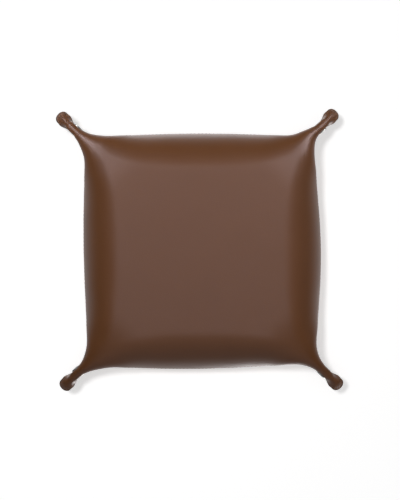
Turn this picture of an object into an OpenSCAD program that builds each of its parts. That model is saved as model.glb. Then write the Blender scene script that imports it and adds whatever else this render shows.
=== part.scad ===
// Leather tray: one square of lined leather, pinched up into four ears by press studs.
// Standing upright: +Z is up, the underside of the base is at z = 0, the middle at x = y = 0.

/* [Tray] */
// Width of the tray across the rims of two opposite walls
tray_w = 200; // [180:10:240]
// How far the soft corners have settled out of true, as on the photographed tray
settle = 1; // [0:0.1:1]

/* [Leather] */
// Thickness of the outer leather
outer_t = 1.4; // [1:0.1:1.5]
// Thickness of the lining leather
lining_t = 0.8; // [0.6:0.1:0.9]

/* [Stitching] */
// Length of one stitch, hole to hole
stitch_pitch = 3; // [2.5:0.5:5]
// Thickness of the sewing thread
thread_d = 0.5; // [0.4:0.1:0.6]
// Distance of the seam from the cut edge
seam_inset = 1.7; // [1.5:0.1:1.8]

/* [Press studs] */
// Diameter of the domed cap
cap_d = 9.2; // [8.4:0.2:9.6]
// Gap that the closed stud and socket hold between the two lining faces
snap_gap = 2.8; // [2.6:0.1:3]

/* [Hidden] */
$fn = 48;

leather_colour = [0.43, 0.32, 0.27];
lining_colour = [0.5, 0.38, 0.31];
thread_colour = [0.36, 0.24, 0.18];
metal_colour = [0.75, 0.75, 0.76];

half_w = tray_w / 2;
sheet_t = outer_t + lining_t;
pinch_half = sheet_t + snap_gap / 2;
// Every cut runs this far past the faces that it goes through
overrun = 1;

// The leather as cross-sections
// One eighth of the tray, from the middle of a wall to the tip of an ear. Each row is a
// cross-section: where the flat floor ends (x, y), the direction in which the wall leaves it
// (degrees), the mean radius and the turn (degrees) of the bend, the straight piece above it, and
// how much tighter than its mean the bend is at its foot. Below 0 it is gentler there.
// Lengths are shares of half the tray's width.
wall_section_shares = [
    [0.660, 0.000, 0, 0.361, 84, 0.034, 0.25],
    [0.664, 0.250, -1, 0.348, 84, 0.042, 0.25],
    [0.680, 0.450, -3, 0.312, 84, 0.070, 0.20],
    [0.718, 0.606, -9, 0.249, 84.5, 0.120, 0.00],
    [0.756, 0.734, -21, 0.198, 85.5, 0.166, -0.40],
    [0.832, 0.818, -30, 0.127, 87, 0.205, -0.50],
    [0.908, 0.902, -39, 0.080, 88.5, 0.200, -0.40],
    [0.963, 0.960, -43, 0.051, 89, 0.174, -0.20],
    [1.018, 1.018, -45, 0.037, 88, 0.132, 0.00],
    [1.055, 1.055, -45, 0.032, 87, 0.090, 0.00],
    [1.086, 1.086, -45, 0.031, 73, 0.071, 0.00],
    [1.112, 1.112, -45, 0.042, 50, 0.045, 0.00],
    [1.130, 1.130, -45, 0.058, 35, 0.031, 0.00],
    [1.130, 1.130, -15, 0.074, 27, 0.032, 0.00],
    [1.130, 1.130, 15, 0.090, 20, 0.033, 0.00],
    [1.130, 1.130, 45, 0.098, 17, 0.033, 0.00]
];
last_section = len(wall_section_shares) - 1;
// The first cross-section whose foot lies on the fold, and the first round the lobe's middle
fold_section = min([for (k = [1 : last_section]) if (on_fold(k)) k]);
lobe_section = min([for (k = [1 : last_section]) if (at_lobe_middle(k)) k]);
function foot_shares(k) = [wall_section_shares[k][0], wall_section_shares[k][1]];
function on_fold(k) = foot_shares(k)[0] == foot_shares(k)[1];
function at_lobe_middle(k) = foot_shares(k) == foot_shares(last_section);
// Where cross-sections are taken: closer together where the leather bends more
section_places = [
    0, 1, 2, 2.5, 3, 3.5, 4, 4.5, 5, 5.5, 6, 6.5, 7, 7.5, 8, 9, 9.5, 10, 10.5, 11, 12,
    12.5, 13, 13.5, 14, 14.5, 15
];
eighth_steps = len(section_places) - 1;
ring_steps = 8 * eighth_steps;
bend_steps = 5;
leg_steps = 3;
bend_parts = 8;
wall_steps = bend_steps + leg_steps;

// The fold climbs from the floor towards the ear: its slope (rise over run) grows steadily as far
// as the neck, and then faster as far as the tip. Places are measured along the diagonal.
climb_start = 0.82 * half_w;
climb_neck = 1.30 * half_w;
climb_tip = 1.60 * half_w;
neck_slope = 0.52;
tip_slope = 0.80;

// Slope and height of the fold at place p on the diagonal
function climb_slope(p) =
    p <= climb_neck
        ? neck_slope * max(0, p - climb_start) / (climb_neck - climb_start)
        : neck_slope
            + (tip_slope - neck_slope) * (min(p, climb_tip) - climb_neck) / (climb_tip - climb_neck);
function climb(p) =
    p <= climb_neck
        ? climb_slope(p) * max(0, p - climb_start) / 2
        : neck_slope * (climb_neck - climb_start) / 2
            + (neck_slope + climb_slope(p)) / 2 * (min(p, climb_tip) - climb_neck)
            + tip_slope * max(0, p - climb_tip);

// Press stud place: along the diagonal, and above the fold
stud_p = 1.44 * half_w;
stud_above_fold = 0.092 * half_w;
stud_z = climb(stud_p) + stud_above_fold;
// The leather's two sides are pressed flat within this distance of the stud, and are free beyond
// the second. The fold under them stays round.
pressed_r = 0.066 * half_w;
free_r = 0.095 * half_w;

// The last cross-section whose foot still lies on the flat base
flat_section = max([
    for (k = [0 : last_section])
        if (diagonal(foot_shares(k)[0], foot_shares(k)[1]) * half_w <= climb_start) k
]);

function smooth(t) = t <= 0 ? 0 : t >= 1 ? 1 : t * t * (3 - 2 * t);
function diagonal(x, y) = (x + y) / sqrt(2);

// A smooth curve through the table's rows
function blend_row(a, b, c, d, t) =
    (2 * b + (c - a) * t + (2 * a - 5 * b + 4 * c - d) * t * t
        + (3 * b - a - 3 * c + d) * t * t * t) / 2;
function before_first(row) = [row[0], -row[1], -row[2], row[3], row[4], row[5], row[6]];
function after_last(row, last) =
    [row[1], row[0], 2 * last[2] - row[2], row[3], row[4], row[5], row[6]];
function section_at(u) =
    let (
        k = min(floor(u), last_section - 1),
        rows = wall_section_shares,
        a = k > 0 ? rows[k - 1] : before_first(rows[1]),
        d = k + 2 <= last_section
            ? rows[k + 2]
            : after_last(rows[last_section - 1], rows[last_section]),
        row = blend_row(a, rows[k], rows[k + 1], d, u - k),
        foot = row[1] > row[0] ? [(row[0] + row[1]) / 2, (row[0] + row[1]) / 2] : [row[0], row[1]]
    )
    [foot[0] * half_w, foot[1] * half_w, row[2], row[3] * half_w, row[4], row[5] * half_w, row[6]];

// Length of a cross-section along the outside, from foot to cut edge
function bend_length(s) = s[3] * s[4] * PI / 180;
function wall_length(s) = bend_length(s) + s[5];

// Slope of cross-section s at a share of its bend, 0 at the foot and 1 at the end
function slope_at(s, share) = s[4] * share * (1 + s[6] * (1 - share));
function total(values) = values * [for (v = values) 1];
// How far out and up from its foot cross-section s runs by distance a, and its slope there
function profile(s, a) =
    let (
        share = min(1, a / bend_length(s)),
        step = bend_length(s) * share / bend_parts,
        slopes = [for (k = [0 : bend_parts - 1]) slope_at(s, share * (k + 0.5) / bend_parts)],
        leg = max(0, a - bend_length(s)),
        end = slope_at(s, share)
    )
    [
        step * total([for (slope = slopes) cos(slope)]) + leg * cos(end),
        step * total([for (slope = slopes) sin(slope)]) + leg * sin(end),
        end
    ];

// Direction square to the leather at place p on the diagonal, from its outer face inwards
function inward(p, heading, slope) =
    let (
        tilt = cos(slope) * climb_slope(p) / sqrt(2),
        lean = sin(slope),
        way = [-lean * cos(heading) - tilt, -lean * sin(heading) - tilt, cos(slope)]
    )
    way / norm(way);

// Point of cross-section s at distance a from its foot, depth inside the outer face
function wall_point(s, a, depth) =
    let (
        run = profile(s, a),
        x = s[0] + run[0] * cos(s[2]),
        y = s[1] + run[0] * sin(s[2]),
        p = diagonal(x, y),
        // the same point before the press stud flattens the neck
        loose = [x, y, run[1] + climb(p)] + depth * inward(p, s[2], run[2]),
        from_stud = norm([diagonal(loose[0], loose[1]) - stud_p, loose[2] - stud_z]),
        pressed = (1 - smooth((from_stud - pressed_r) / (free_r - pressed_r)))
            * smooth(run[2] / s[4]),
        push = pressed * ((loose[0] - loose[1]) / sqrt(2) - (pinch_half - depth)) / sqrt(2)
    )
    loose + [-push, push, 0];

// Settling
// How far each corner of the photographed tray lies outside true, in x and y: first its
// shoulder, then its ear beyond the shoulder. Order: front left, front right, back right,
// back left. Then how far the middle of each wall does: right, back, left, front.
// Shares of half the tray's width.
// Each neck has been pressed narrower before its stud (gather) and pushed to one side (sway).
corner_settle_shares = [
    [[0.015, 0.000], [0.000, -0.012]],
    [[-0.004, 0.018], [0.006, -0.024]],
    [[0.015, 0.008], [0.017, -0.022]],
    [[0.003, 0.009], [-0.027, 0.000]]
];
neck_gather_shares = [0.22, 0.08, 0.10, 0.13];
neck_sway_shares = [0.001, 0.003, 0.006, 0.015];
wall_settle_shares = [-0.014, -0.012, 0.014, -0.006];
neck_place = 1.31 * half_w;
neck_reach = 0.17 * half_w;
shoulder_start = 0.60 * half_w;
shoulder_end = 1.18 * half_w;
ear_end = 1.50 * half_w;
wall_start = 0.50 * half_w;
wall_end = 0.90 * half_w;

function corner_signs(corner) = [[-1, -1], [1, -1], [1, 1], [-1, 1]][corner];
function corner_shift(corner, x, y) =
    let (
        signs = corner_signs(corner),
        p = diagonal(x * signs[0], y * signs[1]),
        shoulder = smooth((p - shoulder_start) / (shoulder_end - shoulder_start)),
        ear = smooth((p - shoulder_end) / (ear_end - shoulder_end)),
        shift = settle * half_w
            * (shoulder * corner_settle_shares[corner][0] + ear * corner_settle_shares[corner][1]),
        near = 1 - smooth(abs(p - neck_place) / neck_reach),
        aside = (x * signs[1] - y * signs[0]) / 2,
        turn = settle * near
            * (neck_gather_shares[corner] * aside - neck_sway_shares[corner] * half_w)
    )
    [shift[0] * signs[0] - turn * signs[1], shift[1] * signs[1] + turn * signs[0], 0];
// Shift of a wall that stands out along one axis; across is the place along the wall
function wall_shift(share, out, across) =
    settle * half_w * share
        * smooth((out - wall_start) / (wall_end - wall_start))
        * (1 - smooth(abs(across) / wall_end));
function settled(point) =
    let (x = point[0], y = point[1], walls = wall_settle_shares)
    point
        + corner_shift(0, x, y) + corner_shift(1, x, y)
        + corner_shift(2, x, y) + corner_shift(3, x, y)
        + [
            wall_shift(walls[0], x, y) - wall_shift(walls[2], -x, y),
            wall_shift(walls[1], y, x) - wall_shift(walls[3], -y, x),
            0
        ];

// A point of the first eighth, carried round to its own eighth and then settled.
// eighth 0 starts at the middle of the right wall and they run counter-clockwise.
function turned(point, quarter) =
    quarter == 0 ? point
    : quarter == 1 ? [-point[1], point[0], point[2]]
    : quarter == 2 ? [-point[0], -point[1], point[2]]
    : [point[1], -point[0], point[2]];
function placed(point, eighth) =
    settled(turned(
        eighth % 2 == 0 ? point : [point[1], point[0], point[2]],
        floor(eighth / 2)
    ));

// Sheets
// The ring of cross-sections runs once round the tray. Step i of the ring lies in an eighth,
// and every other eighth runs backwards, from ear tip to wall middle.
function ring_eighth(i) = floor(i / eighth_steps);
function ring_place(i) =
    let (eighth = ring_eighth(i), k = i % eighth_steps)
    section_places[eighth % 2 == 0 ? k : eighth_steps - k];
function ring_wall(i, depth) =
    let (s = section_at(ring_place(i)), eighth = ring_eighth(i))
    [
        for (j = [0 : wall_steps])
            let (a = j <= bend_steps
                ? bend_length(s) * j / bend_steps
                : bend_length(s) + s[5] * (j - bend_steps) / leg_steps)
            placed(wall_point(s, a, depth), eighth)
    ];
function sheet_face_points(depth) = [for (i = [0 : ring_steps - 1]) each ring_wall(i, depth)];

// Feet on the fold are shared by the two eighths of an ear, and the lobe has a single one
function foot_step(i) =
    let (
        step = i % ring_steps,
        eighth = ring_eighth(step),
        tip = (2 * floor(eighth / 2) + 1) * eighth_steps,
        from_tip = abs(step - tip),
        place = ring_place(step)
    )
    place >= lobe_section ? tip : place >= fold_section ? tip - from_tip : step;
function point_index(i, j) = (j == 0 ? foot_step(i) : i % ring_steps) * (wall_steps + 1) + j;

function flipped(face) = [face[2], face[1], face[0]];
function true_faces(faces) = [
    for (f = faces) if (f[0] != f[1] && f[1] != f[2] && f[2] != f[0]) f
];
function quad(a, b, c, d) = true_faces([[a, b, c], [a, c, d]]);

wall_faces = [
    for (i = [0 : ring_steps - 1], j = [0 : wall_steps - 1])
        each quad(
            point_index(i, j), point_index(i, j + 1),
            point_index(i + 1, j + 1), point_index(i + 1, j)
        )
];
flat_steps = [for (k = [0 : eighth_steps]) if (section_places[k] <= flat_section) k];
flat_count = len(flat_steps) - 1;
corner_faces = [
    for (quarter = [0 : 3], k = [flat_count : eighth_steps - 1])
        let (start = 2 * quarter * eighth_steps, end = start + 2 * eighth_steps)
        each quad(
            point_index(start + k, 0), point_index(start + k + 1, 0),
            point_index(end - k - 1, 0), point_index(end - k, 0)
        )
];
base_outline = [
    for (quarter = [0 : 3])
        each [
            for (k = [-flat_count : flat_count])
                point_index(2 * quarter * eighth_steps + k + ring_steps, 0)
        ]
];
// The base is a fan of triangles from its first corner
base_faces = [
    for (k = [1 : len(base_outline) - 2]) [base_outline[0], base_outline[k], base_outline[k + 1]]
];
face_count = ring_steps * (wall_steps + 1);
function lifted(face) = [face[0] + face_count, face[1] + face_count, face[2] + face_count];
edge_faces = [
    for (i = [0 : ring_steps - 1])
        let (a = point_index(i, wall_steps), b = point_index(i + 1, wall_steps))
        each [[a, a + face_count, b + face_count], [a, b + face_count, b]]
];

// Leather between two depths inside the outer face, with the holes of the four press studs
module sheet(depth, thickness) {
    outside = concat(base_faces, corner_faces, [for (f = wall_faces) flipped(f)]);
    difference() {
        polyhedron(
            points = concat(sheet_face_points(depth), sheet_face_points(depth + thickness)),
            faces = concat(outside, [for (f = outside) flipped(lifted(f))], edge_faces)
        );
        for (corner = [0 : 3])
            at_stud(corner)
                translate([0, 0, -pinch_half - overrun])
                    cylinder(r = shank_r, h = 2 * (pinch_half + overrun));
    }
}

module outer_leather() {
    color(leather_colour) sheet(0, outer_t);
}

module lining() {
    color(lining_colour) sheet(outer_t, lining_t);
}

// Stitching
// Each stitch is a loop of thread through both leathers, a thin block from face to face
thread_proud = thread_d * 0.4;
stitch_share = 0.8;

function seam_point(u, side, depth) =
    let (s = section_at(u))
    wall_point(s, wall_length(s) - seam_inset + side * thread_d / 2, depth);
function stitches_between(k) =
    max(1, round(norm(seam_point(k + 1, 0, 0) - seam_point(k, 0, 0)) / stitch_pitch));

module stitch(u0, u1, eighth) {
    corners = [
        for (u = [u0, u1], side = [-1, 1], depth = [-thread_proud, sheet_t + thread_proud])
            placed(seam_point(u, side, depth), eighth)
    ];
    faces = [
        [0, 1, 3], [0, 3, 2], [4, 6, 7], [4, 7, 5], [0, 4, 5], [0, 5, 1],
        [2, 3, 7], [2, 7, 6], [0, 2, 6], [0, 6, 4], [1, 5, 7], [1, 7, 3]
    ];
    polyhedron(
        points = corners,
        faces = eighth % 2 == 0 ? faces : [for (f = faces) flipped(f)]
    );
}

module edge_stitching() {
    color(thread_colour)
        for (eighth = [0 : 7], k = [0 : last_section - 1])
            let (count = stitches_between(k))
                for (i = [0 : count - 1])
                    stitch(
                        k + (i + (1 - stitch_share) / 2) / count,
                        k + (i + (1 + stitch_share) / 2) / count,
                        eighth
                    );
}

// Press studs
// Each is drawn round its own axis: z = 0 is the plane of the fold, the cap is on the +z side
cap_r = cap_d / 2;
cap_h = cap_d * 0.14;
cap_rim_h = cap_d * 0.05;
cap_wall = cap_d * 0.035;
shank_r = cap_d * 0.15;
shank_bore_r = shank_r * 0.7;
metal_t = snap_gap * 0.1;
socket_r = cap_d * 0.42;
socket_mouth_r = cap_d * 0.215;
socket_room_r = cap_d * 0.29;
socket_wall_r = socket_room_r + metal_t;
socket_h = snap_gap * 0.62;
ball_r = cap_d * 0.205;
neck_r = cap_d * 0.18;
stud_flange_r = cap_d * 0.4;
post_flange_r = cap_d * 0.47;
spring_wire_r = snap_gap * 0.043;
spring_r = neck_r + spring_wire_r;
lining_half = snap_gap / 2;
mouth_z = lining_half - socket_h;
lip_z = mouth_z + metal_t;
ball_top = lining_half - 2 * metal_t;
ball_low = lip_z + 2 * spring_wire_r + metal_t / 8;

// Which corner's stud stands where, turned to its own fold after settling
function stud_axis_point(corner, p) =
    let (signs = corner_signs(corner))
    settled([signs[0] * p / sqrt(2), signs[1] * p / sqrt(2), stud_z]);

module at_stud(corner) {
    middle = stud_axis_point(corner, stud_p);
    ahead = stud_axis_point(corner, stud_p + pressed_r) - stud_axis_point(corner, stud_p - pressed_r);
    translate(middle)
        rotate([0, 0, atan2(ahead[1], ahead[0])])
            rotate([-90, 0, 0])
                children();
}

// A pressed-metal disc turned from its half outline
module turned_metal(outline) {
    color(metal_colour) rotate_extrude() polygon(outline);
}

module snap_cap(corner) {
    flare_z = lining_half - 2 * metal_t;
    at_stud(corner) turned_metal([
        [shank_bore_r, flare_z],
        [socket_mouth_r, flare_z],
        [socket_mouth_r, flare_z + metal_t],
        [shank_r, flare_z + metal_t],
        [shank_r, pinch_half],
        [cap_r - cap_wall, pinch_half],
        [cap_r, pinch_half + cap_rim_h * 0.5],
        [cap_r, pinch_half + cap_rim_h],
        [cap_r * 0.93, pinch_half + cap_h * 0.6],
        [cap_r * 0.78, pinch_half + cap_h * 0.8],
        [cap_r * 0.5, pinch_half + cap_h * 0.95],
        [0, pinch_half + cap_h],
        [0, pinch_half + cap_h - cap_wall],
        [shank_bore_r, pinch_half + cap_h * 0.6]
    ]);
}

module snap_socket(corner) {
    at_stud(corner) turned_metal([
        [shank_r, lining_half],
        [socket_r, lining_half],
        [socket_r, lining_half - metal_t * 0.6],
        [socket_wall_r, lining_half - metal_t],
        [socket_wall_r, mouth_z + metal_t * 0.5],
        [socket_wall_r - metal_t * 0.5, mouth_z],
        [socket_mouth_r, mouth_z],
        [socket_mouth_r, lip_z],
        [socket_room_r, lip_z],
        [socket_room_r, lining_half - metal_t],
        [shank_r, lining_half - metal_t]
    ]);
}

module snap_spring(corner) {
    color(metal_colour)
        at_stud(corner)
            translate([0, 0, lip_z + spring_wire_r])
                rotate_extrude()
                    translate([spring_r, 0])
                        circle(r = spring_wire_r);
}

module snap_stud(corner) {
    at_stud(corner) turned_metal([
        [shank_r, -lining_half],
        [stud_flange_r, -lining_half],
        [stud_flange_r, -lining_half + metal_t],
        [neck_r, -lining_half + metal_t],
        [neck_r, ball_low],
        [ball_r, ball_low + metal_t * 0.3],
        [ball_r, ball_top - metal_t * 0.8],
        [ball_r - metal_t * 0.7, ball_top - metal_t * 0.1],
        [shank_r, ball_top - metal_t * 0.1]
    ]);
}

module snap_post(corner) {
    at_stud(corner) turned_metal([
        [shank_bore_r, -pinch_half - metal_t],
        [post_flange_r - metal_t, -pinch_half - metal_t],
        [post_flange_r, -pinch_half - metal_t * 0.5],
        [post_flange_r - metal_t * 0.5, -pinch_half],
        [shank_r, -pinch_half],
        [shank_r, ball_top - metal_t],
        [shank_bore_r, ball_top - metal_t]
    ]);
}

outer_leather();
lining();
edge_stitching();
snap_cap(0);  // front_left_snap_cap
snap_socket(0);  // front_left_snap_socket
snap_spring(0);  // front_left_snap_spring
snap_stud(0);  // front_left_snap_stud
snap_post(0);  // front_left_snap_post
snap_cap(1);  // front_right_snap_cap
snap_socket(1);  // front_right_snap_socket
snap_spring(1);  // front_right_snap_spring
snap_stud(1);  // front_right_snap_stud
snap_post(1);  // front_right_snap_post
snap_cap(2);  // back_right_snap_cap
snap_socket(2);  // back_right_snap_socket
snap_spring(2);  // back_right_snap_spring
snap_stud(2);  // back_right_snap_stud
snap_post(2);  // back_right_snap_post
snap_cap(3);  // back_left_snap_cap
snap_socket(3);  // back_left_snap_socket
snap_spring(3);  // back_left_snap_spring
snap_stud(3);  // back_left_snap_stud
snap_post(3);  // back_left_snap_post
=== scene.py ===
"""Looks of the leather tray: two leathers sewn at the edge and pinched into ears by press studs.

The tray stands upright, as the CAD part does. The scene's camera is below it and looks up at the
underside, because that is the side that the photograph shows. One-sided stage planes serve both
ways of looking: a table top above the rim for views from below, and a floor for views from above.
"""

import logging
import math
from dataclasses import dataclass, field
from enum import Enum
from functools import cache

import bmesh
import bpy
from bpy.types import Material, Mesh, Node, NodeSocket, NodeTree, Object
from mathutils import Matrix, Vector


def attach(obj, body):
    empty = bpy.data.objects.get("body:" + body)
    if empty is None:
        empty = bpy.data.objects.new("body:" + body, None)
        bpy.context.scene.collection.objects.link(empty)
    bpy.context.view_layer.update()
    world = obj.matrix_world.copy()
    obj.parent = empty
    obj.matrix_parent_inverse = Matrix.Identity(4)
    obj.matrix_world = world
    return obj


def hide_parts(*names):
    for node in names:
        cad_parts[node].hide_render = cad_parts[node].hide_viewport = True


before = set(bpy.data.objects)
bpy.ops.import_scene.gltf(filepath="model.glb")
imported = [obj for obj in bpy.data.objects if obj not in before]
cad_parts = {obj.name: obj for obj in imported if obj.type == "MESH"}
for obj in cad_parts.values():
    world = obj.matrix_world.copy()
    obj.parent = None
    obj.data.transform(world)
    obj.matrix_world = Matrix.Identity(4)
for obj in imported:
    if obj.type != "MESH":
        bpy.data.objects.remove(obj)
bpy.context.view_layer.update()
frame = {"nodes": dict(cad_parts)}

log = logging.getLogger("leather_tray")

MM = 0.001
BODY = "root"
BEND_STEPS = 8
PAPER_GREY = (0.9, 0.9, 0.9)
WHITE = (1.0, 1.0, 1.0)

# A colour, what a node's attribute takes, and what a node's input takes
Colour = tuple[float, float, float]
Setting = str | NodeTree
Value = float | Colour | NodeSocket


# Named options

class Corner(Enum):
    """The four corners, each with the signs of its x and y."""

    FRONT_LEFT = (-1, -1)
    FRONT_RIGHT = (1, -1)
    BACK_RIGHT = (1, 1)
    BACK_LEFT = (-1, 1)


class Face(Enum):
    """Which face of the two joined leathers something lies on."""

    OUTSIDE = -1
    INSIDE = 1


class Adds(Enum):
    """Which part of a surface's look a lamp adds."""

    BOTH = "both"
    SHEEN = "sheen"
    MATTE = "matte"


class Wall(Enum):
    """The four walls, each with its outward direction."""

    RIGHT = (1, 0)
    BACK = (0, 1)
    LEFT = (-1, 0)
    FRONT = (0, -1)


# Sizes


@dataclass(frozen=True)
class TraySizes:
    """Driving dimensions of the tray, in metres, the same as in the CAD source."""

    tray_w: float = 200 * MM
    outer_t: float = 1.4 * MM
    lining_t: float = 0.8 * MM
    seam_inset: float = 1.7 * MM
    stitch_pitch: float = 3 * MM
    thread_d: float = 0.5 * MM
    snap_gap: float = 2.8 * MM

    @property
    def half_w(self) -> float:
        """Half of the tray's width."""
        return self.tray_w / 2

    @property
    def sheet_t(self) -> float:
        """Thickness of the two leathers together."""
        return self.outer_t + self.lining_t

    @property
    def pinch_half(self) -> float:
        """Half of the pinched neck's thickness at the press stud."""
        return self.sheet_t + self.snap_gap / 2


@dataclass(frozen=True)
class Section:
    """One cross-section of the wall: where it starts, its direction, its bend and its leg.

    The tuck says how much tighter the bend is at its foot than on average. Below 0 it is gentler
    there and tightens towards the leg.
    """

    foot_x: float
    foot_y: float
    heading: float
    radius: float
    turn: float
    leg: float
    tuck: float

    @property
    def bend_length(self) -> float:
        """Length of the bend along the outside."""
        return self.radius * self.turn

    @property
    def length(self) -> float:
        """Length of the wall along the outside, from the floor to the cut edge."""
        return self.bend_length + self.leg

    def slope(self, share: float) -> float:
        """Slope of the wall at a place of the bend.

        Args:
            share: 0 at the foot, 1 at the end of the bend.

        Returns:
            The angle to the floor, in radians.
        """
        return self.turn * share * (1 + self.tuck * (1 - share))

    def profile(self, along: float) -> tuple[float, float, float]:
        """Point of the cross-section on the outside of the wall.

        Args:
            along: Distance from the foot along the outside.

        Returns:
            How far out and how far up it lies from the foot, and the slope there.
        """
        share = min(1.0, along / self.bend_length)
        step = self.bend_length * share / BEND_STEPS
        slopes = [self.slope(share * (k + 0.5) / BEND_STEPS) for k in range(BEND_STEPS)]
        leg = max(0.0, along - self.bend_length)
        end = self.slope(share)
        out = step * sum(math.cos(a) for a in slopes) + leg * math.cos(end)
        up = step * sum(math.sin(a) for a in slopes) + leg * math.sin(end)
        return out, up, end


def eased(value: float, start: float, end: float) -> float:
    """Smooth step from 0 to 1.

    Args:
        value: The value that the step follows.
        start: Where the step is 0, and before it.
        end: Where the step is 1, and after it.

    Returns:
        The step's height at the value.
    """
    t = min(1.0, max(0.0, (value - start) / (end - start)))
    return t * t * (3 - 2 * t)


def between(p: float, q: float, r: float, s: float, t: float) -> float:
    """Smooth curve through four values in a row.

    Args:
        p: The value before.
        q: The value at t = 0.
        r: The value at t = 1.
        s: The value after.
        t: Place between q and r.

    Returns:
        The curve's value there.
    """
    bend = 2 * p - 5 * q + 4 * r - s
    twist = 3 * q - p - 3 * r + s
    return (2 * q + (r - p) * t + bend * t * t + twist * t**3) / 2


# The shape of the leather


class TrayShape:
    """The surface of the outer leather as a family of cross-sections, as in the CAD source.

    One eighth of the tray runs from the middle of a wall to the tip of an ear. Each row of the
    table gives where the flat floor ends (x, y), the direction in which the wall leaves it in
    degrees, the mean radius and the turn of the bend, the straight leg above it, and the tuck.
    Lengths are shares of half of the tray's width.
    """

    SECTION_SHARES = (
        (0.660, 0.000, 0, 0.361, 84, 0.034, 0.25),
        (0.664, 0.250, -1, 0.348, 84, 0.042, 0.25),
        (0.680, 0.450, -3, 0.312, 84, 0.070, 0.20),
        (0.718, 0.606, -9, 0.249, 84.5, 0.120, 0.00),
        (0.756, 0.734, -21, 0.198, 85.5, 0.166, -0.40),
        (0.832, 0.818, -30, 0.127, 87, 0.205, -0.50),
        (0.908, 0.902, -39, 0.080, 88.5, 0.200, -0.40),
        (0.963, 0.960, -43, 0.051, 89, 0.174, -0.20),
        (1.018, 1.018, -45, 0.037, 88, 0.132, 0.00),
        (1.055, 1.055, -45, 0.032, 87, 0.090, 0.00),
        (1.086, 1.086, -45, 0.031, 73, 0.071, 0.00),
        (1.112, 1.112, -45, 0.042, 50, 0.045, 0.00),
        (1.130, 1.130, -45, 0.058, 35, 0.031, 0.00),
        (1.130, 1.130, -15, 0.074, 27, 0.032, 0.00),
        (1.130, 1.130, 15, 0.090, 20, 0.033, 0.00),
        (1.130, 1.130, 45, 0.098, 17, 0.033, 0.00),
    )
    # How far each shoulder, and then each ear, has moved along x and y, outwards positive
    CORNER_SETTLE_SHARES = {
        Corner.FRONT_LEFT: ((0.015, 0.000), (0.000, -0.012)),
        Corner.FRONT_RIGHT: ((-0.004, 0.018), (0.006, -0.024)),
        Corner.BACK_RIGHT: ((0.015, 0.008), (0.017, -0.022)),
        Corner.BACK_LEFT: ((0.003, 0.009), (-0.027, 0.000)),
    }
    # The share of its width by which each neck is narrower, and how far it sways to one side
    NECK_SETTLE = {
        Corner.FRONT_LEFT: (0.22, 0.001),
        Corner.FRONT_RIGHT: (0.08, 0.003),
        Corner.BACK_RIGHT: (0.10, 0.006),
        Corner.BACK_LEFT: (0.13, 0.015),
    }
    # Where on the diagonal the necks are, and how far to either side of that they change
    NECK_PLACE_SHARE = 1.31
    NECK_REACH_SHARE = 0.17
    # How far the middle of each wall has moved outwards
    WALL_SETTLE_SHARES = {
        Wall.RIGHT: -0.014,
        Wall.BACK: -0.012,
        Wall.LEFT: 0.014,
        Wall.FRONT: -0.006,
    }
    # The fold line on the diagonal: where it starts to climb, and its slope at neck and tip
    CLIMB_START_SHARE = 0.82
    CLIMB_NECK_SHARE = 1.30
    CLIMB_TIP_SHARE = 1.60
    NECK_SLOPE = 0.52
    TIP_SLOPE = 0.80
    # The press studs: place on the diagonal, height over the fold, and the flat round them
    STUD_SHARE = 1.44
    STUD_ABOVE_FOLD_SHARE = 0.092
    PRESSED_SHARE = 0.066
    FREE_SHARE = 0.095
    # Over which stretches of the diagonal, and of the way out to a wall, the settling grows
    SHOULDER_START_SHARE = 0.60
    SHOULDER_END_SHARE = 1.18
    EAR_END_SHARE = 1.50
    WALL_START_SHARE = 0.50
    WALL_END_SHARE = 0.90

    def __init__(self, sizes: TraySizes) -> None:
        """Keeps the sizes and works out where the fold climbs and the press studs stand.

        Args:
            sizes: Driving dimensions of the tray.
        """
        self.sizes = sizes
        self.half = sizes.half_w
        self.last = len(self.SECTION_SHARES) - 1
        self.climb_start = self.CLIMB_START_SHARE * self.half
        self.climb_neck = self.CLIMB_NECK_SHARE * self.half
        self.climb_tip = self.CLIMB_TIP_SHARE * self.half
        self.stud_p = self.STUD_SHARE * self.half
        self.stud_z = self.climb(self.stud_p) + self.STUD_ABOVE_FOLD_SHARE * self.half

    def climb_slope(self, p: float) -> float:
        """Slope of the fold line at a place on the diagonal.

        Args:
            p: Distance from the tray's middle along the diagonal.

        Returns:
            The slope: rise over run.
        """
        start, neck, tip = self.climb_start, self.climb_neck, self.climb_tip
        if p <= neck:
            return self.NECK_SLOPE * max(0.0, p - start) / (neck - start)
        more = (self.TIP_SLOPE - self.NECK_SLOPE) * (min(p, tip) - neck) / (tip - neck)
        return self.NECK_SLOPE + more

    def climb(self, p: float) -> float:
        """Height of the fold over the floor at a place on the diagonal.

        Args:
            p: Distance from the tray's middle along the diagonal.

        Returns:
            The height, in metres.
        """
        start, neck, tip = self.climb_start, self.climb_neck, self.climb_tip
        slope = self.climb_slope(p)
        if p <= neck:
            return slope * max(0.0, p - start) / 2
        height = self.NECK_SLOPE * (neck - start) / 2
        height += (self.NECK_SLOPE + slope) / 2 * (min(p, tip) - neck)
        return height + self.TIP_SLOPE * max(0.0, p - tip)

    def inward(self, p: float, heading: float, slope: float) -> Vector:
        """Direction square to the leather, from its outer face towards the inside of the tray.

        Args:
            p: Distance from the tray's middle along the diagonal.
            heading: Direction in which the wall runs out, in radians.
            slope: Slope of the wall in that direction, in radians.

        Returns:
            The unit vector.
        """
        tilt = math.cos(slope) * self.climb_slope(p) / math.sqrt(2)
        lean = math.sin(slope)
        side = Vector((-lean * math.cos(heading) - tilt, -lean * math.sin(heading) - tilt, 0))
        return (side + Vector((0, 0, math.cos(slope)))).normalized()

    def section_at(self, u: float) -> Section:
        """Cross-section at a place along the eighth.

        Args:
            u: Place in rows of the table, from 0 at the wall's middle to the last at the tip.

        Returns:
            The cross-section, in metres and radians.
        """
        rows = self.SECTION_SHARES
        k = min(int(u), self.last - 1)
        t = u - k
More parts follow.
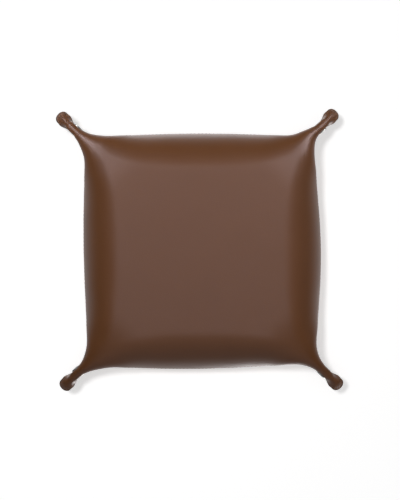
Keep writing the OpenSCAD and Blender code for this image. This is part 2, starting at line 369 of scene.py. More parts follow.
        # Before the first row and after the last, the table goes on as its own mirror image
        x, y, heading, *bend = rows[1]
        before_first = (x, -y, -heading, *bend)
        x, y, heading, *bend = rows[-2]
        after_last = (y, x, 2 * rows[-1][2] - heading, *bend)
        a = rows[k - 1] if k > 0 else before_first
        b, c = rows[k], rows[k + 1]
        d = rows[k + 2] if k + 2 <= self.last else after_last
        x, y, heading, radius, turn, leg, tuck = (between(*near, t) for near in zip(a, b, c, d))
        if y > x:
            x = y = (x + y) / 2
        return Section(
            foot_x=x * self.half,
            foot_y=y * self.half,
            heading=math.radians(heading),
            radius=radius * self.half,
            turn=math.radians(turn),
            leg=leg * self.half,
            tuck=tuck,
        )

    def blank_reach(self) -> float:
        """How far the uncut sheet reaches from its middle to the middle of a side.

        Returns:
            The distance over the flat sheet, in metres.
        """
        middle = self.section_at(0)
        return middle.foot_x + middle.length

    def floor_point(self, section: Section, share: float, depth: float) -> Vector:
        """Point of the floor between the diagonal and a cross-section's foot.

        Args:
            section: The cross-section.
            share: 0 on the diagonal, 1 at the foot.
            depth: How far inside the outer face the point lies.

        Returns:
            The point, in the first eighth.
        """
        x = section.foot_y + (section.foot_x - section.foot_y) * share
        y = section.foot_y
        p = (x + y) / math.sqrt(2)
        return Vector((x, y, self.climb(p))) + depth * self.inward(p, 0, 0)

    def wall_point(self, section: Section, along: float, depth: float) -> Vector:
        """Point of the wall on a cross-section.

        Args:
            section: The cross-section.
            along: Distance from the foot along the outside.
            depth: How far inside the outer face the point lies.

        Returns:
            The point, in the first eighth.
        """
        reach, rise, slope = section.profile(along)
        x = section.foot_x + reach * math.cos(section.heading)
        y = section.foot_y + reach * math.sin(section.heading)
        p = (x + y) / math.sqrt(2)
        point = Vector((x, y, rise + self.climb(p)))
        point += depth * self.inward(p, section.heading, slope)
        diagonal = (point.x + point.y) / math.sqrt(2)
        from_stud = math.hypot(diagonal - self.stud_p, point.z - self.stud_z)
        pressed = 1 - eased(from_stud, self.PRESSED_SHARE * self.half, self.FREE_SHARE * self.half)
        pressed *= eased(slope, 0, section.turn)
        excess = (point.x - point.y) / math.sqrt(2) - (self.sizes.pinch_half - depth)
        push = pressed * excess / math.sqrt(2)
        return point + Vector((-push, push, 0))

    def settled(self, point: Vector) -> Vector:
        """Moves a point as the tray's soft corners and walls have settled out of true.

        Args:
            point: A point of the true tray.

        Returns:
            The point of the settled tray.
        """
        shift_x = 0.0
        shift_y = 0.0
        for corner, (shoulder_shift, ear_shift) in self.CORNER_SETTLE_SHARES.items():
            sign_x, sign_y = corner.value
            p = (point.x * sign_x + point.y * sign_y) / math.sqrt(2) / self.half
            shoulder = eased(p, self.SHOULDER_START_SHARE, self.SHOULDER_END_SHARE)
            ear = eased(p, self.SHOULDER_END_SHARE, self.EAR_END_SHARE)
            shift_x += sign_x * (shoulder * shoulder_shift[0] + ear * ear_shift[0])
            shift_y += sign_y * (shoulder * shoulder_shift[1] + ear * ear_shift[1])
            aside = (point.x * sign_y - point.y * sign_x) / 2 / self.half
            near = 1 - eased(abs(p - self.NECK_PLACE_SHARE), 0, self.NECK_REACH_SHARE)
            gather, sway = self.NECK_SETTLE[corner]
            turn = near * (gather * aside - sway)
            shift_x -= sign_y * turn
            shift_y += sign_x * turn
        for wall, share in self.WALL_SETTLE_SHARES.items():
            out_x, out_y = wall.value
            out = (point.x * out_x + point.y * out_y) / self.half
            across = abs(point.x * out_y + point.y * out_x) / self.half
            weight = eased(out, self.WALL_START_SHARE, self.WALL_END_SHARE)
            weight *= 1 - eased(across, 0, self.WALL_END_SHARE)
            shift_x += out_x * share * weight
            shift_y += out_y * share * weight
        return point + Vector((shift_x, shift_y, 0)) * self.half

    def placed(self, point: Vector, eighth: int) -> Vector:
        """Carries a point of the first eighth round to its own eighth, and settles it.

        Args:
            point: A point of the first eighth.
            eighth: 0 to 7, counter-clockwise from the middle of the right wall.

        Returns:
            The point in its place on the tray.
        """
        x, y = (point.x, point.y) if eighth % 2 == 0 else (point.y, point.x)
        for _ in range(eighth // 2):
            x, y = -y, x
        return self.settled(Vector((x, y, point.z)))


# Finishes


@dataclass(frozen=True)
class LeatherFinish:
    """How a leather looks."""

    name: str
    colour: Colour
    shade: Colour
    edge_colour: Colour
    roughness: float
    grain_scale: float
    grain_depth: float
    swell_depth: float
    sheen_tint: Colour = (1.0, 0.91, 1.0)


@dataclass(frozen=True)
class MetalFinish:
    """How a metal part looks."""

    name: str
    colour: Colour
    tarnish: Colour
    roughness: float
    brush_scale: float


@dataclass(frozen=True)
class ThreadFinish:
    """How the sewing thread looks."""

    name: str
    colour: Colour
    # The darker colour of the grooves between the plies: painted shade
    shade: Colour
    ply_scale: float


OUTER_LEATHER = LeatherFinish(
    name="outer_calf",
    colour=(0.146, 0.0548, 0.0172),
    shade=(0.130, 0.0477, 0.0145),
    edge_colour=(0.034, 0.014, 0.008),
    roughness=0.37,
    grain_scale=900,
    grain_depth=0.035 * MM,
    swell_depth=0.5 * MM,
)
LINING_LEATHER = LeatherFinish(
    name="lining_calf",
    colour=(0.165, 0.078, 0.040),
    shade=(0.148, 0.068, 0.034),
    edge_colour=(0.034, 0.014, 0.008),
    roughness=0.52,
    grain_scale=700,
    grain_depth=0.03 * MM,
    swell_depth=0.3 * MM,
)
NICKEL = MetalFinish(
    name="polished_nickel",
    colour=(0.36, 0.355, 0.35),
    tarnish=(0.24, 0.235, 0.22),
    roughness=0.16,
    brush_scale=900,
)
SATIN_NICKEL = MetalFinish(
    name="satin_nickel",
    colour=(0.58, 0.57, 0.55),
    tarnish=(0.36, 0.34, 0.31),
    roughness=0.34,
    brush_scale=1400,
)
WAXED_THREAD = ThreadFinish(
    name="waxed_thread",
    colour=(0.28, 0.17, 0.12),
    # Painted shade in the grooves between the plies
    shade=(0.18, 0.105, 0.07),
    ply_scale=2600,
)


class NodeGraph:
    """A short way to add nodes to a node tree and to link them."""

    def __init__(self, tree: NodeTree) -> None:
        """Starts on an empty tree.

        Args:
            tree: The node tree that is filled.
        """
        self.tree = tree
        self.tree.nodes.clear()

    def put(self, socket: NodeSocket, value: Value) -> None:
        """Gives one input its value or its link.

        Args:
            socket: The input.
            value: A value, or an output socket to link from. A colour comes without alpha.
        """
        if isinstance(value, NodeSocket):
            self.tree.links.new(value, socket)
        elif socket.type == "RGBA":
            socket.default_value = (*value, 1.0)
        else:
            socket.default_value = value

    def make(self, kind: str, settings: dict[str, Setting] | None = None, **inputs: Value) -> Node:
        """Adds a node.

        Args:
            kind: The node's class name.
            settings: Attributes to set on the node, before its inputs.
            **inputs: A value, or an output socket to link from, for each input that is named,
                with the spaces in its name written as underscores.

        Returns:
            The new node.
        """
        node = self.tree.nodes.new(kind)
        for key, value in (settings or {}).items():
            setattr(node, key, value)
        for key, value in inputs.items():
            self.put(node.inputs[key.replace("_", " ")], value)
        return node

    def join(self, kind: str, *values: Value, **settings: Setting) -> NodeSocket:
        """Adds a node and feeds its first inputs in order.

        Args:
            kind: The node's class name.
            *values: A value, or an output socket to link from, for each input.
            **settings: Attributes to set on the node.

        Returns:
            The node's first output.
        """
        node = self.make(kind, settings)
        for socket, value in zip(node.inputs, values):
            self.put(socket, value)
        return node.outputs[0]

    def math(self, operation: str, *values: Value) -> NodeSocket:
        """Adds a math node.

        Args:
            operation: The math operation.
            *values: Two values or sockets, or three where the operation takes them.

        Returns:
            The result's socket.
        """
        return self.join("ShaderNodeMath", *values, operation=operation)

    def blend(self, amount: Value, first: Value, second: Value) -> NodeSocket:
        """Adds a colour mix node.

        Args:
            amount: Value or socket, 0 for the first colour and 1 for the second.
            first: First colour or socket.
            second: Second colour or socket.

        Returns:
            The mixed colour's socket.
        """
        node = self.make("ShaderNodeMix", {"data_type": "RGBA"})
        colours = [socket for socket in node.inputs if socket.type == "RGBA"]
        for socket, value in zip((node.inputs[0], *colours), (amount, first, second)):
            self.put(socket, value)
        return next(socket for socket in node.outputs if socket.type == "RGBA")

    def bump(self, height: Value, depth: float, **inputs: Value) -> NodeSocket:
        """Adds a bump node at full strength.

        Args:
            height: Height or socket.
            depth: How far a height of 1 stands out, in metres.
            **inputs: The node's other inputs.

        Returns:
            The normal's socket.
        """
        node = self.make("ShaderNodeBump", Height=height, Distance=depth, Strength=1.0, **inputs)
        return node.outputs["Normal"]

    def end(self, **inputs: Value) -> None:
        """Ends a material in a principled shader.

        Args:
            **inputs: The shader's inputs.
        """
        shader = self.make("ShaderNodeBsdfPrincipled", **inputs)
        self.make("ShaderNodeOutputMaterial", Surface=shader.outputs["BSDF"])


class FinishMaker:
    """Makes the procedural materials, each once.

    The scales of its patterns are per metre. TIMES means times the finish's own scale.
    """

    # Grain: cells at the finish's own scale, bent by a drift in metres, and finer pores
    DRIFT_TIMES = 0.4
    DRIFT = (0.0007, 0.0007, 0.0007)
    CELL_SMOOTHNESS = 0.35
    PORE_TIMES = 2.6
    CELL_HEIGHT = -0.7
    PORE_HEIGHT = 0.45
    # Cloudy dye and the slow swell of the sheet
    CLOUD_SCALE = 34.0
    CLOUD_TONE = 0.75
    CELL_TONE = 0.35
    SWELL_SCALE = 22.0
    # Leather: how much the dye's tone adds to roughness, and how much the painted edge loses of
    # its roughness and of its grain
    TONE_ROUGHNESS = 0.10
    EDGE_ROUGHNESS = 0.08
    EDGE_SMOOTHING = 0.7
    # Metal: tarnish clouds and handling marks
    TARNISH_SCALE = 420.0
    TARNISH_SHARE = 0.8
    MARK_ROUGHNESS = 0.16
    MARK_DEPTH = 0.004 * MM
    # Thread: bands of ply with finer fuzz, and painted shade in the grooves between the plies
    PLY_TIMES = 0.25
    PLY_DEPTH = 0.03 * MM
    THREAD_ROUGHNESS = 0.6
    THREAD_SHEEN = 0.15

    def __init__(self) -> None:
        """Makes the shared node group."""
        self.grain = self.grain_group()

    @classmethod
    def grain_group(cls) -> NodeTree:
        """Group that gives the height, the tone and the swell of smooth full-grain leather.

        Returns:
            The node group.
        """
        group = bpy.data.node_groups.new("leather_grain", "ShaderNodeTree")
        face = group.interface
        face.new_socket("Vector", in_out="INPUT", socket_type="NodeSocketVector")
        face.new_socket("Scale", in_out="INPUT", socket_type="NodeSocketFloat")
        for name in ("Height", "Tone", "Swell"):
            face.new_socket(name, in_out="OUTPUT", socket_type="NodeSocketFloat")
        graph = NodeGraph(group)
        source = graph.make("NodeGroupInput")
        vector, scale = source.outputs["Vector"], source.outputs["Scale"]
        drift_scale = graph.math("MULTIPLY", scale, cls.DRIFT_TIMES)
        drift = graph.make("ShaderNodeTexNoise", Vector=vector, Scale=drift_scale)
        bent = graph.join(
            "ShaderNodeVectorMath",
            drift.outputs["Color"],
            cls.DRIFT,
            vector,
            operation="MULTIPLY_ADD",
        )
        cells = graph.make(
            "ShaderNodeTexVoronoi",
            {"feature": "SMOOTH_F1"},
            Vector=bent,
            Scale=scale,
            Smoothness=cls.CELL_SMOOTHNESS,
        )
        pore_scale = graph.math("MULTIPLY", scale, cls.PORE_TIMES)
        pores = graph.make("ShaderNodeTexNoise", Vector=vector, Scale=pore_scale, Detail=3.0)
        height = graph.math(
            "ADD",
            graph.math("MULTIPLY", cells.outputs["Distance"], cls.CELL_HEIGHT),
            graph.math("MULTIPLY", pores.outputs["Fac"], cls.PORE_HEIGHT),
        )
        clouds = graph.make(
            "ShaderNodeTexNoise", Vector=vector, Scale=cls.CLOUD_SCALE, Detail=4.0, Roughness=0.6
        )
        tone = graph.math(
            "ADD",
            graph.math("MULTIPLY", clouds.outputs["Fac"], cls.CLOUD_TONE),
            graph.math("MULTIPLY", cells.outputs["Distance"], cls.CELL_TONE),
        )
        swell = graph.make("ShaderNodeTexNoise", Vector=vector, Scale=cls.SWELL_SCALE, Detail=1.0)
        graph.make("NodeGroupOutput", Height=height, Tone=tone, Swell=swell.outputs["Fac"])
        return group

    @staticmethod
    def _start(name: str) -> tuple[Material, NodeGraph, NodeSocket]:
        """Starts a material with an empty node tree.

        Args:
            name: The material's name.

        Returns:
            The material, the graph to fill, and the object's own coordinates in it.
        """
        material = bpy.data.materials.new(name)
        material.use_nodes = True
        graph = NodeGraph(material.node_tree)
        return material, graph, graph.make("ShaderNodeTexCoord").outputs["Object"]

    @cache
    def leather(self, finish: LeatherFinish) -> Material:
        """Leather with a fine grain, cloudy dye and a painted cut edge.

        Args:
            finish: The leather's look.

        Returns:
            The material.
        """
        material, graph, place = self._start(finish.name)
        settings = {"node_tree": self.grain}
        grain = graph.make("ShaderNodeGroup", settings, Vector=place, Scale=finish.grain_scale)
        tone = grain.outputs["Tone"]
        edge = graph.make("ShaderNodeAttribute", {"attribute_name": "cut_edge"}).outputs["Fac"]
        dyed = graph.blend(tone, finish.shade, finish.colour)
        least = finish.roughness - self.TONE_ROUGHNESS / 2
        rough = graph.math("ADD", graph.math("MULTIPLY", tone, self.TONE_ROUGHNESS), least)
        painted = graph.math("MULTIPLY", edge, self.EDGE_ROUGHNESS)
        smoothed = graph.math("MULTIPLY", edge, self.EDGE_SMOOTHING)
        bare = graph.math("SUBTRACT", 1.0, smoothed)
        relief = graph.math("MULTIPLY", grain.outputs["Height"], bare)
        swell = graph.bump(grain.outputs["Swell"], finish.swell_depth)
        graph.end(
            Base_Color=graph.blend(edge, dyed, finish.edge_colour),
            Roughness=graph.math("SUBTRACT", rough, painted),
            Normal=graph.bump(relief, finish.grain_depth, Normal=swell),
            Specular_Tint=finish.sheen_tint,
        )
        return material

    @cache
    def metal(self, finish: MetalFinish) -> Material:
        """Plated metal with faint handling marks.

        Args:
            finish: The metal's look.

        Returns:
            The material.
        """
        material, graph, place = self._start(finish.name)
        clouds = graph.make(
            "ShaderNodeTexNoise", Vector=place, Scale=self.TARNISH_SCALE, Detail=5.0
        )
        marks = graph.make(
            "ShaderNodeTexNoise",
            Vector=place,
            Scale=finish.brush_scale,
            Detail=6.0,
            Roughness=0.7,
        ).outputs["Fac"]
        tarnished = graph.math("MULTIPLY", clouds.outputs["Fac"], self.TARNISH_SHARE)
        dull = graph.math("SMOOTH_MIN", tarnished, 1.0)
        worn = graph.math("MULTIPLY", marks, self.MARK_ROUGHNESS)
        least = finish.roughness - self.MARK_ROUGHNESS / 2
        graph.end(
            Base_Color=graph.blend(dull, finish.colour, finish.tarnish),
            Metallic=1.0,
            Roughness=graph.math("ADD", worn, least),
            Normal=graph.bump(marks, self.MARK_DEPTH),
        )
        return material

    @cache
    def thread(self, finish: ThreadFinish) -> Material:
        """Waxed thread with twisted plies and painted shade in the grooves between them.

        Args:
            finish: The thread's look.

        Returns:
            The material.
        """
        material, graph, place = self._start(finish.name)
        ply = graph.make(
            "ShaderNodeTexWave",
            {"wave_type": "BANDS", "bands_direction": "DIAGONAL"},
            Vector=place,
            Scale=finish.ply_scale * self.PLY_TIMES,
            Distortion=1.5,
            Detail=2.0,
        ).outputs["Fac"]
        fuzz = graph.make("ShaderNodeTexNoise", Vector=place, Scale=finish.ply_scale, Detail=4.0)
        relief = graph.math("ADD", ply, fuzz.outputs["Fac"])
        graph.end(
            # The low parts of the ply bands get the darker colour: painted shade in the grooves
            Base_Color=graph.blend(ply, finish.shade, finish.colour),
            Roughness=self.THREAD_ROUGHNESS,
            Normal=graph.bump(relief, self.PLY_DEPTH),
            Sheen_Weight=self.THREAD_SHEEN,
        )
        return material


# Meshes


def make_object(name: str, mesh: Mesh, material: Material) -> Object:
    """Puts a mesh into the scene with its material.

    Args:
        name: The piece's name.
        mesh: Its mesh, in the row's frame.
        material: Its material.

    Returns:
        The new object.
    """
    obj = bpy.data.objects.new(name, mesh)
    bpy.context.scene.collection.objects.link(obj)
    mesh.materials.append(material)
    return obj


@dataclass
class SheetColumn:
    """One line of points, from the middle of a wall to the tip of an ear.

    It lies at a share of the floor (0 on the diagonal), at a share of the wall or, where one is
    given, at a distance from the cut edge. Edge is 1 where the cut edge's paint covers it.
    """

    floor_share: float = 1.0
    wall_share: float = 0.0
    from_edge: float | None = None
    depth: float = 0.0
    edge: float = 0.0


@dataclass
class LeatherSheet:
    """One leather of the tray, from one depth inside the outer face to another.

    Its lines of points are evenly spaced over the floor and up the wall, as far as rim_start from
    the cut edge. Closer ones there shape the rim, the seam's groove and the rounded edge.
    """

    name: str
    shape: TrayShape
    top: float
    bottom: float
    shown: Face
    finish: LeatherFinish
    rows_per_section: int = 8
    floor_steps: int = 12
    wall_steps: int = 20
    groove_depth: float = 0.14 * MM
    groove_half: float = 0.55 * MM
    painted: float = 0.6 * MM
    rim_start: float = 4.0 * MM
    bead: float = 0.5 * MM
    bead_steps: int = 4
    points: list[Vector] = field(default_factory=list)
    index: dict[tuple[int, int, int], int] = field(default_factory=dict)
    edges: list[float] = field(default_factory=list)

    # Distances of the closer lines of points from the cut edge, in mm
    RIM_LINES = (3.4, 2.7, 2.3, 2.0, 1.7, 1.4, 1.1, 0.8, 0.5)
    # The step in which points are told apart, and how close the last doubles lie that are merged
    SAME_PLACE = 0.002 * MM
    STRAY = 0.003 * MM

    def build(self, finishes: FinishMaker) -> Object:
        """Makes the leather as one closed mesh.

        Args:
            finishes: Where the materials come from.

        Returns:
            The leather's object.
        """
        columns = self._columns()
        faces: set[tuple[int, ...]] = set()
        rows = self.shape.last * self.rows_per_section
        for eighth in range(8):
            grid = [
                self._row(self.shape.section_at(r / self.rows_per_section), columns, eighth)
                for r in range(rows + 1)
            ]
            for near, far in zip(grid, grid[1:]):
                for j in range(len(columns) - 1):
                    # Where corners of a face lie in one place, it keeps only one of them
                    face = tuple(dict.fromkeys((near[j], near[j + 1], far[j + 1], far[j])))
                    if len(face) > 2:
                        faces.add(face if eighth % 2 else face[::-1])
        mesh = bpy.data.meshes.new(self.name)
        mesh.from_pydata(self.points, [], sorted(faces))
        attribute = mesh.attributes.new("cut_edge", "FLOAT", "POINT")
        attribute.data.foreach_set("value", self.edges)
        self._close(mesh)
        mesh.shade_smooth()
        obj = make_object(self.name, mesh, finishes.leather(self.finish))
        log.info("%s: %d faces", self.name, len(mesh.polygons))
        return obj

    def _columns(self) -> list[SheetColumn]:
        """Lays out the lines of points round the leather's profile.

        Returns:
            The columns, out along one face, round the cut edge and back along the other.
        """
        out = [SheetColumn(floor_share=k / self.floor_steps) for k in range(self.floor_steps)]
        out += [SheetColumn(wall_share=k / self.wall_steps) for k in range(self.wall_steps)]
        for line in self.RIM_LINES:
            out.append(SheetColumn(from_edge=line * MM, edge=float(line * MM <= self.painted)))
        thick = self.bottom - self.top
        lower = [SheetColumn(c.floor_share, c.wall_share, c.from_edge, thick) for c in out]
        edge = []
        for k in range(1, self.bead_steps + 1):
            angle = math.pi / 2 * k / self.bead_steps
            inset = self.bead * (1 - math.sin(angle))
            depth = self.bead * (1 - math.cos(angle))
            edge.append(SheetColumn(from_edge=inset, depth=depth, edge=1.0))
        edge.append(SheetColumn(from_edge=0.0, depth=thick, edge=1.0))
        return out + edge + lower[::-1]

    def _groove(self, from_edge: float) -> float:
        """How deep the seam pulls the shown face in.

        Args:
            from_edge: Distance from the cut edge.

        Returns:
            The groove's depth there.
        """
        off = (from_edge - self.shape.sizes.seam_inset) / self.groove_half
        return self.groove_depth * math.exp(-off * off)

    def _row(self, section: Section, columns: list[SheetColumn], eighth: int) -> list[int]:
        """Places one row of points.

        Args:
            section: The cross-section.
            columns: The profile's columns.
            eighth: Which eighth of the tray.

        Returns:
            The numbers of the row's points.
        """
        row = []
        for column in columns:
            depth = column.depth
            if column.from_edge is not None and column.depth < (self.bottom - self.top) / 2:
                depth += self._groove(column.from_edge)
            depth = self.top + depth if self.shown is Face.OUTSIDE else self.bottom - depth
            if column.from_edge is not None:
                along = section.length - column.from_edge
                point = self.shape.wall_point(section, along, depth)
            elif column.floor_share < 1:
                point = self.shape.floor_point(section, column.floor_share, depth)
            else:
                along = (section.length - self.rim_start) * column.wall_share
                point = self.shape.wall_point(section, along, depth)
            row.append(self._number(self.shape.placed(point, eighth), column.edge))
        return row

    def _number(self, point: Vector, edge: float) -> int:
        """Number of a point, shared by all that lie in one place.

        Args:
            point: The point.
            edge: 1 on the painted edge, otherwise 0.

        Returns:
            The point's number.
        """
        key = tuple(round(c / self.SAME_PLACE) for c in point)
        if key not in self.index:
            self.index[key] = len(self.points)
            self.points.append(point)
            self.edges.append(edge)
        return self.index[key]

    @classmethod
    def _close(cls, mesh: Mesh) -> None:
        """Turns all faces outwards and merges stray doubles.

        Args:
            mesh: The mesh to close.
        """
        work = bmesh.new()
        work.from_mesh(mesh)
        bmesh.ops.remove_doubles(work, verts=work.verts, dist=cls.STRAY)
        bmesh.ops.recalc_face_normals(work, faces=work.faces)
        open_edges = sum(1 for e in work.edges if len(e.link_faces) != 2)
        if open_edges:
            log.warning("%s has %d open edges", mesh.name, open_edges)
        work.to_mesh(mesh)
        work.free()


@dataclass
class EdgeStitching:
    """The seam: each stitch shows as a short bar of thread on both faces."""

    shape: TrayShape
    stitch_share: float = 0.86
    rings: int = 9
    sides: int = 8

    # In thread radii: how deep a bar lies in the outer face, how high on the lining, and how far
    # its ends dip into the holes. The power makes it dip only there.
    OUTER_SINK = 0.60
    INNER_RISE = 0.35
    END_DIP = 2.2
    DIP_POWER = 6
    # Thickness of a bar's ends as a share of its middle
    END_SHARE = 0.8

    def build(self, finishes: FinishMaker) -> Object:
        """Makes all the stitches as one piece.

        Args:
            finishes: Where the materials come from.

        Returns:
            The stitching's object.
        """
        work = bmesh.new()
        count = 0
        for eighth in range(8):
            for k in range(self.shape.last):
                number = self._stitches_between(k)
                for i in range(number):
                    start = k + (i + (1 - self.stitch_share) / 2) / number
                    end = k + (i + (1 + self.stitch_share) / 2) / number
                    for face in Face:
                        self._bar(work, start, end, eighth, face)
                    count += 1
        bmesh.ops.recalc_face_normals(work, faces=work.faces)
        mesh = bpy.data.meshes.new("edge_stitching_thread")
        work.to_mesh(mesh)
        work.free()
        mesh.shade_smooth()
        obj = make_object("edge_stitching_thread", mesh, finishes.thread(WAXED_THREAD))
        log.info("edge stitching: %d stitches", count)
        return obj

    def _seam_point(self, u: float, depth: float) -> Vector:
        """Point on the seam line.

        Args:
            u: Place along the eighth.
            depth: How far inside the outer face.

        Returns:
            The point, in the first eighth.
        """
        section = self.shape.section_at(u)
        along = section.length - self.shape.sizes.seam_inset
        return self.shape.wall_point(section, along, depth)

    def _stitches_between(self, k: int) -> int:
        """Number of stitches between two rows of the shape's table.

        Args:
            k: The first row.

        Returns:
            How many stitches of about the pitch fit.
        """
        span = (self._seam_point(k + 1, 0) - self._seam_point(k, 0)).length
        return max(1, round(span / self.shape.sizes.stitch_pitch))

    def _bar(
        self, work: bmesh.types.BMesh, start: float, end: float, eighth: int, face: Face
    ) -> None:
        """Adds one visible bar of thread that dips into its two holes.

        Args:
            work: The mesh being built.
            start: Place of the first hole along the eighth.
            end: Place of the second hole.
            eighth: Which eighth of the tray.
            face: Which face of the leather the bar lies on.
        """
        sizes = self.shape.sizes
        radius = sizes.thread_d / 2
        level = radius * self.OUTER_SINK
        if face is Face.INSIDE:
            level = sizes.sheet_t + radius * self.INNER_RISE
        path = []
        for i in range(self.rings):
            t = i / (self.rings - 1)
            sink = radius * self.END_DIP * abs(2 * t - 1) ** self.DIP_POWER
            depth = level - face.value * sink
            point = self._seam_point(start + (end - start) * t, depth)
            path.append(self.shape.placed(point, eighth))
        surface, inside = (
            self.shape.placed(self._seam_point((start + end) / 2, depth), eighth)
            for depth in (level, level - face.value * MM)
        )
        normal = (surface - inside).normalized()
        loops = []
        for i, point in enumerate(path):
            before = path[max(0, i - 1)]
            after = path[min(len(path) - 1, i + 1)]
            forward = (after - before).normalized()
            side = forward.cross(normal).normalized()
            up = side.cross(forward)
            swell = math.sin(math.pi * i / (len(path) - 1))
            thick = radius * (self.END_SHARE + (1 - self.END_SHARE) * swell)
            loop = []
            for s in range(self.sides):
                angle = 2 * math.pi * s / self.sides
                across = side * thick * math.cos(angle)
                rise = up * thick * math.sin(angle)
                loop.append(work.verts.new(point + across + rise))
            loops.append(loop)
        for near, far in zip(loops, loops[1:]):
            for s in range(self.sides):
                nxt = (s + 1) % self.sides
                work.faces.new((near[s], near[nxt], far[nxt], far[s]))
        work.faces.new(loops[0][::-1])
        work.faces.new(loops[-1])


@dataclass
class PressStud:
    """One press stud: cap, socket, spring, stud and post, dressed in metal."""

    corner: Corner

    PARTS = ("cap", "socket", "spring", "stud", "post")

    def dress(self, finishes: FinishMaker, nodes: dict[str, Object]) -> None:
        """Gives the CAD parts of this stud their metal.

        Args:
            finishes: Where the materials come from.
            nodes: The CAD objects by name.
        """
        place = self.corner.name.lower()
        for part in self.PARTS:
            node = nodes[f"{place}_snap_{part}"]
            finish = NICKEL if part == "cap" else SATIN_NICKEL
            node.data.materials.clear()
            node.data.materials.append(finishes.metal(finish))
        log.info("press stud %s dressed", place)


# Stage


@dataclass(frozen=True)
class StagePlane:
    """A large plane that only the camera sees, and only from its front."""

    name: str
    height: float
    faces_up: bool
    glow: float
    size: float = 12.0

    def build(self) -> Object:
        """Makes the plane and its one-sided material.

        Returns:
            The plane's object.
        """
        half = self.size / 2
        ring = [(-half, -half), (half, -half), (half, half), (-half, half)]
        if not self.faces_up:
            ring = ring[::-1]
        mesh = bpy.data.meshes.new(self.name)
        mesh.from_pydata([(x, y, self.height) for x, y in ring], [], [(0, 1, 2, 3)])
        obj = make_object(self.name, mesh, self._material())
        for ray in ("diffuse", "glossy", "transmission", "volume_scatter", "shadow"):
            setattr(obj, f"visible_{ray}", False)
        return obj

    def _material(self) -> Material:
        """Plain pale paper, clear from behind.

        Returns:
            The material.
        """
        material = bpy.data.materials.new(self.name)
        material.use_nodes = True
        graph = NodeGraph(material.node_tree)
        paper = graph.join("ShaderNodeBsdfDiffuse", PAPER_GREY)
        glow = graph.join("ShaderNodeEmission", WHITE, self.glow)
        front = graph.join("ShaderNodeAddShader", paper, glow)
        clear = graph.join("ShaderNodeBsdfTransparent")
        behind = graph.make("ShaderNodeNewGeometry").outputs["Backfacing"]
        seen = graph.join("ShaderNodeMixShader", behind, front, clear)
        graph.make("ShaderNodeOutputMaterial", Surface=seen)
        return material


@dataclass(frozen=True)
class SoftBox:
    """An oval soft light aimed at the tray.

    Its place is given by the side that it stands on (degrees, counter-clockwise from +X seen from
    above), by how far it stands off the vertical, and by whether it is under or over the tray.
    Its reach is half its angle up and down as the tray sees it, its width half that sideways.
    """

    name: str
    side: float
    off_vertical: float
    below: bool
    distance: float
    reach: float
    width: float
    brightness: float
    adds: Adds = Adds.BOTH

    def build(self) -> Object:
        """Makes the light. A brightness of 1 is that of white paper in the scene.

        Returns:
            The light's object.
        """
        half_w = self.distance * math.tan(math.radians(self.width))
        half_h = self.distance * math.tan(math.radians(self.reach))
        data = bpy.data.lights.new(self.name, "AREA")
        data.shape = "ELLIPSE"
        data.size = 2 * half_w
        data.size_y = 2 * half_h
        data.energy = self.brightness * math.pi * math.pi * half_w * half_h
        obj = bpy.data.objects.new(self.name, data)
        bpy.context.scene.collection.objects.link(obj)
        side = math.radians(self.side)
        off = math.radians(self.off_vertical)
        direction = Vector(
            (
                math.sin(off) * math.cos(side),
                math.sin(off) * math.sin(side),
                -math.cos(off) if self.below else math.cos(off),
            )
        )
        obj.location = direction * self.distance
        obj.rotation_mode = "QUATERNION"
        obj.rotation_quaternion = direction.to_track_quat("Z", "Y")
        obj.visible_camera = False
        obj.visible_glossy = self.adds is not Adds.MATTE
        obj.visible_diffuse = self.adds is not Adds.SHEEN
        return obj


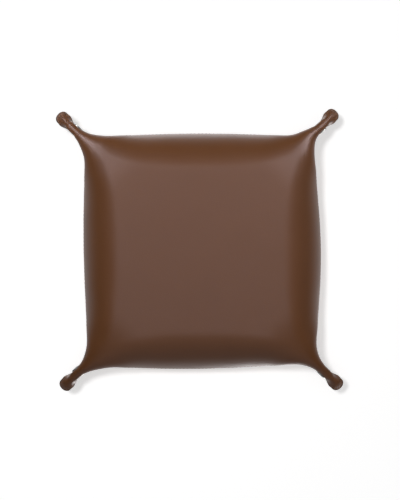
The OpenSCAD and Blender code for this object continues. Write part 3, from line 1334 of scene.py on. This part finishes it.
class Studio:
    """Camera, lights, backdrop and world."""

    LENS_MM = 100.0
    SENSOR_MM = 36.0
    IMAGE_W = 400
    IMAGE_H = 500
    MM_PER_PIXEL = 0.845
    CENTRE_PX = (200.6, 250.8)
    RIM_HEIGHT = 38 * MM
    TABLE_HEIGHT = 72 * MM
    BACKDROP_GLOW = 0.55
    FLOOR_GLOW = 0.25

    LIGHTS = (
        SoftBox("key_back_right", 44, 70, True, 0.70, 15, 6, 13.0, Adds.SHEEN),
        SoftBox("key_back_left", 136, 70, True, 0.70, 15, 6, 12.5, Adds.SHEEN),
        SoftBox("strip_back_right", 45, 36, True, 0.70, 17, 10, 3.1, Adds.SHEEN),
        SoftBox("strip_back_left", 135, 36, True, 0.70, 17, 10, 3.0, Adds.SHEEN),
        SoftBox("soft_back_right", 45, 58, True, 0.45, 20, 20, 3.4, Adds.MATTE),
        SoftBox("soft_back_left", 135, 46, True, 0.45, 20, 20, 2.85, Adds.MATTE),
        SoftBox("soft_side", 180, 75, True, 0.60, 20, 20, 0.8, Adds.MATTE),
        SoftBox("soft_near", 0, 20, True, 0.42, 20, 20, 0.45, Adds.MATTE),
        SoftBox("bounce_front", 270, 60, True, 1.2, 33, 42, 0.33),
        SoftBox("room_key", 230, 42, False, 1.2, 22, 22, 3.0),
        SoftBox("room_fill", 58, 38, False, 1.2, 26, 26, 1.15),
    )
    SHADOW_LAMP = SoftBox("shadow_lamp", 34, 10.8, True, 1.6, 3, 3, 140, Adds.MATTE)
    # Angle from straight down, in degrees, and the room's brightness there as the tray sees it
    WORLD_STOPS = (
        (0, 1.62), (8, 1.47), (14, 0.98), (20, 0.45), (28, 0.12), (40, 0.03), (60, 0.02),
        (88, 0.02), (95, 0.11), (101, 0.28), (112, 0.46), (124, 0.55), (144, 0.60), (180, 0.60),
    )

    def build(self) -> None:
        """Sets up the whole stage."""
        backdrop = StagePlane("backdrop", self.TABLE_HEIGHT, False, self.BACKDROP_GLOW).build()
        StagePlane("floor", 0.0, True, self.FLOOR_GLOW).build()
        only_backdrop = bpy.data.collections.new("only_backdrop")
        only_backdrop.objects.link(backdrop)
        self.SHADOW_LAMP.build().light_linking.receiver_collection = only_backdrop
        all_but_backdrop = bpy.data.collections.new("all_but_backdrop")
        all_but_backdrop.objects.link(backdrop)
        all_but_backdrop.collection_objects[0].light_linking.link_state = "EXCLUDE"
        for light in self.LIGHTS:
            light.build().light_linking.receiver_collection = all_but_backdrop
        self._world()
        self._camera()
        bpy.context.scene.view_settings.view_transform = "Standard"

    def _camera(self) -> None:
        """Puts the camera under the tray, looking straight up, with +Y at the picture's top."""
        data = bpy.data.cameras.new("camera")
        data.lens = self.LENS_MM
        data.sensor_width = self.SENSOR_MM
        obj = bpy.data.objects.new("camera", data)
        bpy.context.scene.collection.objects.link(obj)
        view_h = self.IMAGE_H * self.MM_PER_PIXEL * MM
        distance = view_h * self.LENS_MM / self.SENSOR_MM
        off_x = (self.CENTRE_PX[0] - self.IMAGE_W / 2) * self.MM_PER_PIXEL * MM
        off_y = (self.CENTRE_PX[1] - self.IMAGE_H / 2) * self.MM_PER_PIXEL * MM
        obj.location = (off_x, off_y, self.RIM_HEIGHT - distance)
        obj.rotation_euler = (0, math.pi, 0)
        bpy.context.scene.camera = obj

    def _world(self) -> None:
        """White to the camera; to the tray, a room with dark sides and a white table."""
        world = bpy.data.worlds.new("studio")
        bpy.context.scene.world = world
        world.use_nodes = True
        graph = NodeGraph(world.node_tree)
        way = graph.make("ShaderNodeTexCoord").outputs["Generated"]
        rise = graph.make("ShaderNodeSeparateXYZ", Vector=way).outputs["Z"]
        # From straight down to straight up, the rise of -1 to 1 becomes a place of 0 to 1
        ramp = graph.make("ShaderNodeValToRGB", Fac=graph.math("MULTIPLY_ADD", rise, 0.5, 0.5))
        stops = ramp.color_ramp.elements
        for angle, value in self.WORLD_STOPS[1:-1]:
            place = (1 - math.cos(math.radians(angle))) / 2
            stops.new(place).color = (value, value, value, 1)
        for end in (0, -1):
            value = self.WORLD_STOPS[end][1]
            stops[end].color = (value, value, value, 1)
        room = graph.join("ShaderNodeBackground", ramp.outputs["Color"], 1.0)
        white = graph.join("ShaderNodeBackground", WHITE, 1.0)
        by_camera = graph.make("ShaderNodeLightPath").outputs["Is Camera Ray"]
        seen = graph.join("ShaderNodeMixShader", by_camera, room, white)
        graph.make("ShaderNodeOutputWorld", Surface=seen)


class LeatherTray:
    """The whole tray: two leathers, their seam and four press studs."""

    def __init__(self, sizes: TraySizes) -> None:
        """Lists the pieces.

        Args:
            sizes: Driving dimensions of the tray.
        """
        self.sizes = sizes
        self.shape = TrayShape(sizes)
        self.outer = LeatherSheet(
            "outer_leather_skin", self.shape, 0.0, sizes.outer_t, Face.OUTSIDE, OUTER_LEATHER
        )
        self.lining = LeatherSheet(
            "lining_skin", self.shape, sizes.outer_t, sizes.sheet_t, Face.INSIDE, LINING_LEATHER
        )
        self.stitching = EdgeStitching(self.shape)
        self.studs = [PressStud(corner) for corner in Corner]

    def build(self, finishes: FinishMaker) -> None:
        """Builds the leathers and the seam, hides the CAD parts that they stand in for, and
        dresses the press studs.

        Args:
            finishes: Where the materials come from.
        """
        blank = 2 * self.shape.blank_reach()
        for sheet, node, slot in (
            (self.outer, "outer_leather", "outer_leather"),
            (self.lining, "lining", "lining"),
        ):
            skin = sheet.build(finishes)
            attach(skin, BODY)
            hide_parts(node)
        thread = self.stitching.build(finishes)
        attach(thread, BODY)
        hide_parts("edge_stitching")
        for stud in self.studs:
            stud.dress(finishes, frame["nodes"])


def main() -> None:
    logging.basicConfig(level=logging.INFO, format="%(name)s: %(message)s")
    LeatherTray(TraySizes()).build(FinishMaker())
    Studio().build()


if __name__ == "__main__":
    main()
